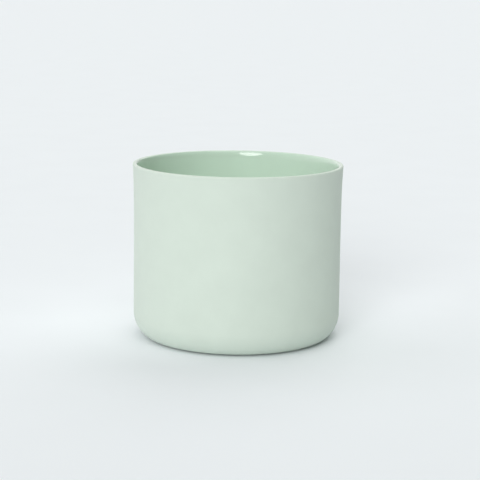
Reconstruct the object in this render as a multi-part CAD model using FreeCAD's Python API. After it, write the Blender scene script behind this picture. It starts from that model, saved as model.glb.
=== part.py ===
import FreeCAD, Part
import math
import os

# A straight-sided brush pot in slip-cast porcelain: a matte clay body and a clear glaze coat inside it.
# Millimetres, +Z up. The origin is at the centre of the foot, on the surface that the pot stands on.
# Both pieces are turned shapes: each outline lies in the XZ plane and is revolved about Z.

# Driving dimensions
RIM_RADIUS = 60.0
HEIGHT = 99.6
WALL_THICKNESS = 2.9
FLOOR_THICKNESS = 3.4
GLAZE_THICKNESS = 0.25

# Outside of the body
WALL_RADIUS = 59.5                  # where the wall meets the rounded bottom edge
WALL_LOW_HANDLE = 30.0              # the wall leaves the bottom edge upright, draws in a little,
WALL_HIGH_HANDLE = 18.0             # and reaches the lip leaning outward
RIM_LEAN = math.radians(3.7)
BASE_REACH = 14.2                   # half axes of the ellipse that rounds the bottom edge
BASE_RISE = 15.2
BASE_TURN = math.radians(56.0)      # how far round that ellipse the edge goes
FOOT_HEIGHT = 1.1                   # the rounded edge ends this far above the table
FOOT_INSET = 4.5
FOOT_WIDTH = 3.2
RECESS_DEPTH = 1.2                  # unglazed hollow under the floor, inside the foot ring
RECESS_SLOPE = 0.8

# Inside of the body
INNER_CORNER_RADIUS = 9.0

# Lip
LIP_OUTER_RADIUS = 0.8
LIP_TOP_WIDTH = 0.8                 # flat, unglazed top of the lip
LIP_INNER_DROP = 5.0                # how far down the inside the softened lip edge reaches
LIP_HANDLE = 0.6                    # fullness of that softened edge, as a share of its reach

# Derived places, as radius and height
inner_wall_radius = WALL_RADIUS - WALL_THICKNESS
crest_radius = RIM_RADIUS - LIP_OUTER_RADIUS
glaze_edge_radius = crest_radius - LIP_TOP_WIDTH
lip_centre_height = HEIGHT - LIP_OUTER_RADIUS
inner_lip_radius = RIM_RADIUS - WALL_THICKNESS - LIP_INNER_DROP * math.tan(RIM_LEAN)
inside_floor_height = RECESS_DEPTH + FLOOR_THICKNESS
base_centre_height = FOOT_HEIGHT + BASE_RISE * math.sin(BASE_TURN)
base_edge_radius = WALL_RADIUS - BASE_REACH * (1.0 - math.cos(BASE_TURN))
foot_outer_radius = base_edge_radius - FOOT_INSET
foot_inner_radius = foot_outer_radius - FOOT_WIDTH


def point(radius, height):
    return FreeCAD.Vector(radius, 0.0, height)


def line(start, end):
    return Part.LineSegment(start, end).toShape()


def arc(centre, radius, start_angle, end_angle):
    """Circular arc in the XZ plane. Angles are in radians from +X, and positive towards +Z."""
    angles = (start_angle, (start_angle + end_angle) / 2.0, end_angle)
    points = [centre + radius * point(math.cos(angle), math.sin(angle)) for angle in angles]
    return Part.Arc(*points).toShape()


def turned(edges):
    """Solid of revolution from a closed outline in the XZ plane."""
    face = Part.Face(Part.Wire(edges))
    return face.revolve(point(0.0, 0.0), FreeCAD.Vector(0, 0, 1), 360.0)


def bezier(*poles):
    curve = Part.BezierCurve()
    curve.setPoles(list(poles))
    return curve.toShape()


def wall_curve(low, high):
    """The wall's slight waist, from above the bottom edge up to the lip."""
    lean = point(math.sin(RIM_LEAN), math.cos(RIM_LEAN))
    return bezier(low, low + point(0.0, WALL_LOW_HANDLE), high - WALL_HIGH_HANDLE * lean, high)


def base_curve():
    """Part of an ellipse under the wall, from the wall down to the edge above the foot ring."""
    centre = point(WALL_RADIUS - BASE_REACH, base_centre_height)
    bottom = centre - point(0.0, BASE_RISE)
    side = centre + point(BASE_REACH, 0.0)
    edge = point(base_edge_radius, FOOT_HEIGHT)
    ellipse = Part.Ellipse(bottom, side, centre)
    return Part.ArcOfEllipse(ellipse, ellipse.parameter(edge), ellipse.parameter(side)).toShape()


def inside_surface(depth):
    """Edges of the inside, from the axis to the glaze's edge on the lip, at a depth under the glaze's surface."""
    floor_height = inside_floor_height - depth
    wall = inner_wall_radius + depth
    corner_radius = INNER_CORNER_RADIUS + depth
    corner_centre = point(wall - corner_radius, floor_height + corner_radius)
    lip_start = point(inner_lip_radius + depth, HEIGHT - LIP_INNER_DROP)
    edge = point(glaze_edge_radius, HEIGHT - depth)
    rise = LIP_HANDLE * (edge.z - lip_start.z)
    reach = LIP_HANDLE * (edge.x - lip_start.x)
    return [line(point(0.0, floor_height), point(corner_centre.x, floor_height)),
            arc(corner_centre, corner_radius, -math.pi / 2.0, 0.0),
            wall_curve(point(wall, corner_centre.z), lip_start),
            bezier(lip_start,
                   lip_start + rise * point(math.sin(RIM_LEAN), math.cos(RIM_LEAN)),
                   edge - point(reach, 0.0),
                   edge)]


def porcelain_body():
    """Wall, rounded bottom edge, floor and foot ring, cast in one piece."""
    lip_centre = point(crest_radius, lip_centre_height)
    lip_end = lip_centre + LIP_OUTER_RADIUS * point(math.cos(RIM_LEAN), -math.sin(RIM_LEAN))
    recess_radius = foot_inner_radius - RECESS_SLOPE
    lip_top = point(glaze_edge_radius, HEIGHT)
    under_edge = point(foot_outer_radius, FOOT_HEIGHT)
    outside = [line(point(glaze_edge_radius, HEIGHT - GLAZE_THICKNESS), lip_top),
               line(lip_top, point(crest_radius, HEIGHT)),
               arc(lip_centre, LIP_OUTER_RADIUS, math.pi / 2.0, -RIM_LEAN),
               wall_curve(point(WALL_RADIUS, base_centre_height), lip_end),
               base_curve(),
               line(point(base_edge_radius, FOOT_HEIGHT), under_edge),
               line(under_edge, point(foot_outer_radius, 0.0)),
               line(point(foot_outer_radius, 0.0), point(foot_inner_radius, 0.0)),
               line(point(foot_inner_radius, 0.0), point(recess_radius, RECESS_DEPTH)),
               line(point(recess_radius, RECESS_DEPTH), point(0.0, RECESS_DEPTH)),
               line(point(0.0, RECESS_DEPTH), point(0.0, inside_floor_height - GLAZE_THICKNESS))]
    return turned(inside_surface(GLAZE_THICKNESS) + outside)


def inner_glaze():
    """Clear coat over the inside and the softened inner edge of the lip, ending in a line on the lip's top."""
    glazed = inside_surface(0.0)
    under = inside_surface(GLAZE_THICKNESS)
    lip_edge = line(point(glaze_edge_radius, HEIGHT), point(glaze_edge_radius, HEIGHT - GLAZE_THICKNESS))
    axis_edge = line(point(0.0, inside_floor_height - GLAZE_THICKNESS), point(0.0, inside_floor_height))
    return turned(glazed + [lip_edge] + under[::-1] + [axis_edge])


os.makedirs("parts", exist_ok=True)
for name, make in (("porcelain_body", porcelain_body), ("inner_glaze", inner_glaze)):
    shape = make()
    shape.exportStep("parts/" + name + ".step")
    print(name, "valid", shape.isValid(), "solids", len(shape.Solids), "volume_mm3", round(shape.Volume))
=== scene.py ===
import math

import bmesh
import bpy
from mathutils import Matrix, Vector, noise


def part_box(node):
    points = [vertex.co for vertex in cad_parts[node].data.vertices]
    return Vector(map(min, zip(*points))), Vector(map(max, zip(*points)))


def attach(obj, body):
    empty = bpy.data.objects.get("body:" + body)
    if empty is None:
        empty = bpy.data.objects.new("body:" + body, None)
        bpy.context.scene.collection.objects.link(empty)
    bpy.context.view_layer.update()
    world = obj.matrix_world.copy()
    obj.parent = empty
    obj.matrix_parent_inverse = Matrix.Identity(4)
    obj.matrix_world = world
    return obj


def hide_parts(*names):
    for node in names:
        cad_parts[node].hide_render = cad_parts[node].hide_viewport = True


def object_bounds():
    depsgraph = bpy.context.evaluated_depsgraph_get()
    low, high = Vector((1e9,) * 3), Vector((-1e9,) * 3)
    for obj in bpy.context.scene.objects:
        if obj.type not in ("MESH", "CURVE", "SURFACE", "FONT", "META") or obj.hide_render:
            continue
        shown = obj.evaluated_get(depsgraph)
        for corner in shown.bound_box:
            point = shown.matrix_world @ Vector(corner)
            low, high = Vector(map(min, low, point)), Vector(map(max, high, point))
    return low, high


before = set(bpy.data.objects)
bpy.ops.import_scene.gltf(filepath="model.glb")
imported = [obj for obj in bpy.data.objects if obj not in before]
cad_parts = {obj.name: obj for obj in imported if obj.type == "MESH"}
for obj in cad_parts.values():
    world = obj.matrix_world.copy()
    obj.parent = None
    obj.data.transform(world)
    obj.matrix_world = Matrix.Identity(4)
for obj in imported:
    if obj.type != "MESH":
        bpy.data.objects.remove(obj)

# A brush pot in pale mint porcelain: matte clay outside and on the lip, clear glossy glaze inside.
# Metres, +Z up, origin at the centre of the foot, as in the CAD frame.

cad_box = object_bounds()
glaze_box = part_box("inner_glaze")
MM = 0.001

# ---------------------------------------------------------------- sizes, from the frame

RIM_RADIUS = cad_box[1].x
HEIGHT = cad_box[1].z
GLAZE_THICKNESS = 0.25 * MM
WALL_THICKNESS = 2.9 * MM
WALL_RADIUS = 59.5 * MM         # where the wall meets the rounded bottom edge
WALL_LOW_HANDLE = 30.0 * MM     # the wall leaves the bottom edge upright, draws in a little,
WALL_HIGH_HANDLE = 18.0 * MM    # and reaches the lip leaning outward
RIM_LEAN = math.radians(3.7)
BASE_REACH = 14.2 * MM          # half axes of the ellipse that rounds the bottom edge
BASE_RISE = 15.2 * MM
BASE_TURN = math.radians(56)    # how far round that ellipse the edge goes
FOOT_HEIGHT = 1.1 * MM
FOOT_INSET = 4.5 * MM
FOOT_WIDTH = 3.2 * MM
RECESS_DEPTH = 1.2 * MM
RECESS_SLOPE = 0.8 * MM
INNER_CORNER_RADIUS = 9.0 * MM
LIP_OUTER_RADIUS = 0.8 * MM
LIP_TOP_WIDTH = 0.8 * MM        # flat, unglazed top of the lip
LIP_INNER_DROP = 5.0 * MM
LIP_HANDLE = 0.6                # fullness of the softened inner edge, as a share of its reach

inside_floor_height = glaze_box[0].z + GLAZE_THICKNESS
inner_wall_radius = WALL_RADIUS - WALL_THICKNESS
crest_radius = RIM_RADIUS - LIP_OUTER_RADIUS
glaze_edge_radius = crest_radius - LIP_TOP_WIDTH
lip_centre_height = HEIGHT - LIP_OUTER_RADIUS
inner_lip_radius = RIM_RADIUS - WALL_THICKNESS - LIP_INNER_DROP * math.tan(RIM_LEAN)
base_centre = (WALL_RADIUS - BASE_REACH, FOOT_HEIGHT + BASE_RISE * math.sin(BASE_TURN))
base_edge_radius = WALL_RADIUS - BASE_REACH * (1.0 - math.cos(BASE_TURN))
foot_outer_radius = base_edge_radius - FOOT_INSET
foot_inner_radius = foot_outer_radius - FOOT_WIDTH

# ---------------------------------------------------------------- how fine and how uneven the meshes are

TURN_STEPS = 360                # columns of faces round the pot
STRAIGHT_STEP = 3.0 * MM        # longest face along a straight stretch
WALL_STEPS = 32
BASE_STEPS = 32
INNER_CORNER_STEPS = 24
LIP_INNER_STEPS = 24
LIP_OUTER_STEPS = 16
ON_AXIS = 0.001 * MM            # a point of an outline nearer the axis than this is on it
SHARP_ANGLE = math.radians(40)
FIRED_WARP = 0.07 * MM          # how far firing has moved the clay from a true circle
FIRED_WARP_LENGTH = 45.0 * MM
FIRED_WARP_SEED = 5             # keeps the warp the same in each run
GLAZE_RIPPLE = 0.004 * MM       # waves on the glaze's surface
GLAZE_RIPPLE_LENGTH = 9.0 * MM

noise.seed_set(FIRED_WARP_SEED)

# ---------------------------------------------------------------- outlines, as (radius, height)


def straight(start, end):
    """Points along a straight stretch, both ends included."""
    start, end = Vector(start), Vector(end)
    steps = math.ceil((end - start).length / STRAIGHT_STEP)
    return [start.lerp(end, i / steps) for i in range(steps + 1)]


def ellipse_arc(centre, reach, rise, start_angle, end_angle, steps):
    """Points along an arc of an ellipse whose half axes are reach, along the radius, and rise, in height."""
    turns = [start_angle + (end_angle - start_angle) * i / steps for i in range(steps + 1)]
    return [Vector((centre[0] + reach * math.cos(turn), centre[1] + rise * math.sin(turn))) for turn in turns]


def arc(centre, radius, start_angle, end_angle, steps):
    """Points along an arc of a circle."""
    return ellipse_arc(centre, radius, radius, start_angle, end_angle, steps)


def bezier(start, start_handle, end_handle, end, steps):
    """Points along a cubic Bezier curve."""
    points = []
    for i in range(steps + 1):
        t = i / steps
        s = 1.0 - t
        points.append(s**3 * start + 3 * s * s * t * start_handle + 3 * s * t * t * end_handle + t**3 * end)
    return points


def joined(*stretches):
    """One list of points from stretches that meet end to end."""
    points = list(stretches[0])
    for stretch in stretches[1:]:
        points += stretch[1:]
    return points


def wall_curve(low, high):
    """The wall's slight waist, from above the bottom edge up to the lip."""
    lean = Vector((math.sin(RIM_LEAN), math.cos(RIM_LEAN)))
    low, high = Vector(low), Vector(high)
    return bezier(low, low + Vector((0.0, WALL_LOW_HANDLE)), high - WALL_HIGH_HANDLE * lean, high, WALL_STEPS)


def inside_outline(depth):
    """From the axis over the inside floor and up the wall to the glaze's edge, depth under its surface."""
    floor = inside_floor_height - depth
    wall = inner_wall_radius + depth
    corner = INNER_CORNER_RADIUS + depth
    corner_centre = (wall - corner, floor + corner)
    lip_start = Vector((inner_lip_radius + depth, HEIGHT - LIP_INNER_DROP))
    edge = Vector((glaze_edge_radius, HEIGHT - depth))
    reach = LIP_HANDLE * (edge - lip_start)
    start_handle = lip_start + reach.y * Vector((math.sin(RIM_LEAN), math.cos(RIM_LEAN)))
    edge_handle = edge - Vector((reach.x, 0.0))
    return joined(
        straight((0.0, floor), (corner_centre[0], floor)),
        arc(corner_centre, corner, -math.pi / 2, 0.0, INNER_CORNER_STEPS),
        wall_curve((wall, corner_centre[1]), lip_start),
        bezier(lip_start, start_handle, edge_handle, edge, LIP_INNER_STEPS))


def outside_outline():
    """From the glaze's edge over the lip, down the wall, round the bottom edge and foot, and to the axis."""
    lip_centre = Vector((crest_radius, lip_centre_height))
    lip_end = lip_centre + LIP_OUTER_RADIUS * Vector((math.cos(RIM_LEAN), -math.sin(RIM_LEAN)))
    wall = wall_curve((WALL_RADIUS, base_centre[1]), lip_end)
    wall.reverse()
    recess_radius = foot_inner_radius - RECESS_SLOPE
    return joined(
        straight((glaze_edge_radius, HEIGHT), (crest_radius, HEIGHT)),
        arc(lip_centre, LIP_OUTER_RADIUS, math.pi / 2, -RIM_LEAN, LIP_OUTER_STEPS),
        wall,
        ellipse_arc(base_centre, BASE_REACH, BASE_RISE, 0.0, -BASE_TURN, BASE_STEPS),
        straight((base_edge_radius, FOOT_HEIGHT), (foot_outer_radius, FOOT_HEIGHT)),
        straight((foot_outer_radius, FOOT_HEIGHT), (foot_outer_radius, 0.0)),
        straight((foot_outer_radius, 0.0), (foot_inner_radius, 0.0)),
        straight((foot_inner_radius, 0.0), (recess_radius, RECESS_DEPTH)),
        straight((recess_radius, RECESS_DEPTH), (0.0, RECESS_DEPTH)))


# ---------------------------------------------------------------- turned meshes


def fired(point):
    """Where firing has left a point of the clay: a slow, slight warp that fades out at the foot."""
    fade = min(1.0, point.z / HEIGHT)
    return point + FIRED_WARP * fade * noise.noise_vector(point / FIRED_WARP_LENGTH)


def swept(place, along, turn, ripple):
    """Where a place on an outline comes to when it turns about the axis. along is the outline's direction
    there, and ripple is the height of the waves on the surface."""
    outward = Vector((math.cos(turn), math.sin(turn), 0.0))
    point = place.x * outward + Vector((0.0, 0.0, place.y))
    normal = along.y * outward - Vector((0.0, 0.0, along.x))
    wave = ripple * noise.noise(point / GLAZE_RIPPLE_LENGTH)
    return fired(point) + wave * normal


def turned(name, outline, ripples):
    """A closed mesh from an outline, which starts and ends on the axis. ripples gives the height of the
    waves at each of its points."""
    mesh = bmesh.new()
    turns = [2.0 * math.pi * step / TURN_STEPS for step in range(TURN_STEPS)]
    rings = []
    for i, (place, ripple) in enumerate(zip(outline, ripples)):
        along = (outline[min(i + 1, len(outline) - 1)] - outline[max(i - 1, 0)]).normalized()
        if place.x < ON_AXIS:
            rings.append([mesh.verts.new(swept(place, along, 0.0, ripple))] * TURN_STEPS)
        else:
            rings.append([mesh.verts.new(swept(place, along, turn, ripple)) for turn in turns])
    for lower, upper in zip(rings, rings[1:]):
        for step in range(TURN_STEPS):
            after = (step + 1) % TURN_STEPS
            corners = [lower[step], lower[after], upper[after], upper[step]]
            mesh.faces.new(list(dict.fromkeys(corners)))
    bmesh.ops.recalc_face_normals(mesh, faces=mesh.faces)
    data = bpy.data.meshes.new(name)
    mesh.to_mesh(data)
    mesh.free()
    data.shade_smooth()
    data.set_sharp_from_angle(angle=SHARP_ANGLE)
    piece = bpy.data.objects.new(name, data)
    bpy.context.scene.collection.objects.link(piece)
    return piece


def make_body():
    """The clay: its inside lies under the glaze, and the rest shows."""
    outline = inside_outline(GLAZE_THICKNESS) + outside_outline()
    piece = turned("body_clay", outline, [0.0] * len(outline))
    piece.data.materials.append(matte_porcelain())
    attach(piece, "root")
    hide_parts("porcelain_body")


def make_glaze():
    """The glaze: its surface shows, and its under side lies on the clay."""
    surface = inside_outline(0.0)
    under = inside_outline(GLAZE_THICKNESS)
    under.reverse()
    piece = turned("glaze_coat", surface + under, [GLAZE_RIPPLE] * len(surface) + [0.0] * len(under))
    piece.data.materials.append(clear_glaze())
    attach(piece, "root")
    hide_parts("inner_glaze")


# ---------------------------------------------------------------- node helpers

NOISE_SPREAD = (0.3, 0.7)                       # noise stays between about these
NOISE_DETAIL = 2.0
MIX_FIRST, MIX_SECOND, MIX_RESULT = 6, 7, 2     # a Mix node's colour sockets, whose names aren't unique


def set_inputs(node, inputs):
    """Sets a node's inputs to values, or links them to the sockets given in their place."""
    for key, value in inputs.items():
        if isinstance(value, bpy.types.NodeSocket):
            node.id_data.links.new(value, node.inputs[key])
        else:
            node.inputs[key].default_value = value


def node_maker(tree):
    """A function that adds a node to a tree, with its settings and its inputs."""

    def add(kind, inputs=(), **settings):
        node = tree.nodes.new(kind)
        for key, value in settings.items():
            setattr(node, key, value)
        set_inputs(node, dict(inputs))
        return node

    return add


def new_material(name):
    """A node material, its shader, and the function that adds its nodes."""
    material = bpy.data.materials.new(name)
    material.use_nodes = True
    return material, material.node_tree.nodes["Principled BSDF"], node_maker(material.node_tree)


def tinted(colour, share=1.0):
    """A colour scaled in brightness, as RGBA."""
    return (*[min(1.0, channel * share) for channel in colour], 1.0)


def pattern(add, size, detail=NOISE_DETAIL):
    """Noise whose blotches are about size across."""
    place = add("ShaderNodeTexCoord").outputs["Object"]
    return add("ShaderNodeTexNoise", {"Vector": place, "Scale": 1.0 / size, "Detail": detail}).outputs["Fac"]


def position(add, axis):
    """How far along an axis the surface is."""
    place = add("ShaderNodeNewGeometry").outputs["Position"]
    return add("ShaderNodeSeparateXYZ", {"Vector": place}).outputs[axis]


def ranged(add, value, low, high, spread=NOISE_SPREAD):
    """A value spread between two numbers: low at the start of its own spread, and high at the end."""
    inputs = {"Value": value, "From Min": spread[0], "From Max": spread[1], "To Min": low, "To Max": high}
    return add("ShaderNodeMapRange", inputs).outputs["Result"]


def mixed(add, share, first, second):
    """A colour between two, by share."""
    inputs = {"Factor": share, MIX_FIRST: first, MIX_SECOND: second}
    return add("ShaderNodeMix", inputs, data_type="RGBA").outputs[MIX_RESULT]


def clouded(add, colour, size, strength, detail=NOISE_DETAIL):
    """A colour with faint clouding, up to strength darker and lighter."""
    clouds = ranged(add, pattern(add, size, detail), 0.0, 1.0)
    return mixed(add, clouds, tinted(colour, 1.0 - strength), tinted(colour, 1.0 + strength))


def bumped(add, height, strength, distance):
    """The surface direction that a bump gives."""
    inputs = {"Height": height, "Strength": strength, "Distance": distance}
    return add("ShaderNodeBump", inputs).outputs["Normal"]


# ---------------------------------------------------------------- materials

CLAY = (0.666, 0.747, 0.669)
CLAY_CLOUD_SIZE = 14 * MM
CLAY_CLOUD_STRENGTH = 0.015
CLAY_ROUGHNESS = (0.52, 0.62)
CLAY_ROUGHNESS_SIZE = 3 * MM
CLAY_IOR = 1.45
GRAIN_SIZE = 0.5 * MM
GRAIN_STRENGTH = 0.25
GRAIN_DEPTH = 0.02 * MM
SPECK_SHARE = 0.06              # how strongly the grain's high spots show as darker specks
SPECK_SHADE = 0.8
RUBBED_CLAY = (0.60, 0.63, 0.57)
RUBBED_SHARE = 0.7              # how strongly the foot is rubbed up to RUBBED_HEIGHT. Above, it fades out
RUBBED_HEIGHT = 0.1 * MM

GLAZED_CLAY = (0.632, 0.774, 0.658)
GLAZE_CLOUD_SIZE = 18 * MM
GLAZE_CLOUD_STRENGTH = 0.02
GLAZE_ROUGHNESS = (0.04, 0.07)
GLAZE_ROUGHNESS_SIZE = 6 * MM
GLAZE_IOR = 1.5
GLAZE_BUMP_SIZE = 2.5 * MM
GLAZE_BUMP_STRENGTH = 0.06
GLAZE_BUMP_DEPTH = 0.05 * MM
POT_CLOUD_DETAIL = 3.0

FLOOR = (0.857, 0.886, 0.911)
FLOOR_CLOUD_SIZE = 60 * MM
FLOOR_CLOUD_STRENGTH = 0.005
FLOOR_PAINTED_SHADE = 0.965        # painted shade for the light falling off near the camera: how dark the floor gets there, as a share of its colour, and where along Y it starts to and has got there
FLOOR_PAINTED_SHADE_START = -120 * MM    # and where along Y it starts to and has got there
FLOOR_PAINTED_SHADE_END = -250 * MM
FLOOR_ROUGHNESS = 0.9
FLOOR_SPECULAR = 0.1


def matte_porcelain():
    """Unglazed porcelain: pale mint with faint clouding, a fine dry grain, and a rubbed foot ring."""
    material, shader, add = new_material("matte_porcelain")
    grain = pattern(add, GRAIN_SIZE)
    specks = ranged(add, grain, 0.0, SPECK_SHARE)
    rubbed = ranged(add, position(add, "Z"), RUBBED_SHARE, 0.0, (RUBBED_HEIGHT, FOOT_HEIGHT))
    colour = clouded(add, CLAY, CLAY_CLOUD_SIZE, CLAY_CLOUD_STRENGTH, POT_CLOUD_DETAIL)
    colour = mixed(add, specks, colour, tinted(CLAY, SPECK_SHADE))
    colour = mixed(add, rubbed, colour, tinted(RUBBED_CLAY))
    set_inputs(shader, {
        "Base Color": colour,
        "Roughness": ranged(add, pattern(add, CLAY_ROUGHNESS_SIZE), *CLAY_ROUGHNESS),
        "Normal": bumped(add, grain, GRAIN_STRENGTH, GRAIN_DEPTH),
        "IOR": CLAY_IOR})
    return material


def clear_glaze():
    """Clear glossy glaze over the mint clay, with faint clouding and slow waves."""
    material, shader, add = new_material("clear_glaze")
    waves = pattern(add, GLAZE_BUMP_SIZE)
    set_inputs(shader, {
        "Base Color": clouded(add, GLAZED_CLAY, GLAZE_CLOUD_SIZE, GLAZE_CLOUD_STRENGTH, POT_CLOUD_DETAIL),
        "Roughness": ranged(add, pattern(add, GLAZE_ROUGHNESS_SIZE), *GLAZE_ROUGHNESS),
        "Normal": bumped(add, waves, GLAZE_BUMP_STRENGTH, GLAZE_BUMP_DEPTH),
        "IOR": GLAZE_IOR})
    return material


def floor_material():
    """The studio floor: pale, matte and even, with painted shade that makes it slightly darker near the
    camera, where the light falls off.
    """
    material, shader, add = new_material("studio_floor")
    # painted shade: the floor's colour darkens towards the camera, standing in for the light falling off
    # there
    painted_shade = ranged(add, position(add, "Y"), 0.0, 1.0, (FLOOR_PAINTED_SHADE_START, FLOOR_PAINTED_SHADE_END))
    colour = clouded(add, FLOOR, FLOOR_CLOUD_SIZE, FLOOR_CLOUD_STRENGTH)
    set_inputs(shader, {
        "Base Color": mixed(add, painted_shade, colour, tinted(FLOOR, FLOOR_PAINTED_SHADE)),
        "Roughness": FLOOR_ROUGHNESS,
        "Specular IOR Level": FLOOR_SPECULAR})
    return material


# ---------------------------------------------------------------- studio

CAMERA_DISTANCE = 0.8
CAMERA_HEIGHT = 0.2048
CAMERA_PITCH = 0.1852                   # downward, in radians, as the turn and the roll are
CAMERA_TURN = 0.0020
CAMERA_ROLL = 0.01336
CAMERA_LENS_MM = 105.9
CAMERA_SENSOR_MM = 36.0
FLOOR_REACH = 40.0
WORLD_DARK = (0.07, 0.09, 0.07)         # the surroundings away from their bright side
WORLD_BRIGHT = (1.235, 1.215, 1.245)    # and in the middle of it
WORLD_BRIGHT_SIDE = (-135, 0)           # its azimuth and elevation

# Large soft sources far away. Azimuth and elevation are as seen from the pot, spread is how wide each
# source looks, all in degrees, and strength is the brightness it alone gives a white surface facing it.
LIGHTS = (
    ("key", -15, 22, 27, 0.453),
    ("front_high", 0, 65, 50, 0.286),
    ("right_back", 150, 45, 60, 0.324),
)


def make_camera():
    """The camera: in front of the pot, above its rim, and looking slightly down."""
    data = bpy.data.cameras.new("camera")
    data.lens = CAMERA_LENS_MM
    data.sensor_width = CAMERA_SENSOR_MM
    camera = bpy.data.objects.new("camera", data)
    camera.matrix_world = (Matrix.Translation((0.0, -CAMERA_DISTANCE, CAMERA_HEIGHT))
                           @ Matrix.Rotation(-CAMERA_TURN, 4, "Z")
                           @ Matrix.Rotation(math.pi / 2 - CAMERA_PITCH, 4, "X")
                           @ Matrix.Rotation(CAMERA_ROLL, 4, "Z"))
    bpy.context.scene.collection.objects.link(camera)
    bpy.context.scene.camera = camera


def make_floor():
    """The studio floor: one large square that the pot stands on."""
    data = bpy.data.meshes.new("studio_floor")
    corners = [(x * FLOOR_REACH, y * FLOOR_REACH, 0.0) for x, y in ((-1, -1), (1, -1), (1, 1), (-1, 1))]
    data.from_pydata(corners, [], [(0, 1, 2, 3)])
    data.materials.append(floor_material())
    floor = bpy.data.objects.new("studio_floor", data)
    bpy.context.scene.collection.objects.link(floor)


def towards(azimuth, elevation):
    """Unit vector from the pot. Azimuth 0 is the camera's side and 90 is +X."""
    across, up = math.radians(azimuth), math.radians(elevation)
    return Vector((math.sin(across) * math.cos(up), -math.cos(across) * math.cos(up), math.sin(up)))


def make_lights():
    """The soft sources, which shine towards the pot."""
    for name, azimuth, elevation, spread, strength in LIGHTS:
        data = bpy.data.lights.new(name, "SUN")
        data.angle = math.radians(spread)
        data.energy = math.pi * strength
        light = bpy.data.objects.new(name, data)
        light.rotation_euler = towards(azimuth, elevation).to_track_quat("Z", "Y").to_euler()
        bpy.context.scene.collection.objects.link(light)


def make_world():
    """Pale surroundings, brightest behind the pot on the left."""
    world = bpy.data.worlds.new("studio")
    world.use_nodes = True
    add = node_maker(world.node_tree)
    sides = {0: add("ShaderNodeTexCoord").outputs["Generated"], 1: towards(*WORLD_BRIGHT_SIDE)}
    facing = add("ShaderNodeVectorMath", sides, operation="DOT_PRODUCT").outputs["Value"]
    colour = mixed(add, facing, (*WORLD_DARK, 1.0), (*WORLD_BRIGHT, 1.0))
    set_inputs(world.node_tree.nodes["Background"], {"Color": colour})
    bpy.context.scene.world = world


make_camera()
make_floor()
make_lights()
make_world()
make_body()
make_glaze()
bpy.context.scene.view_settings.view_transform = "Standard"
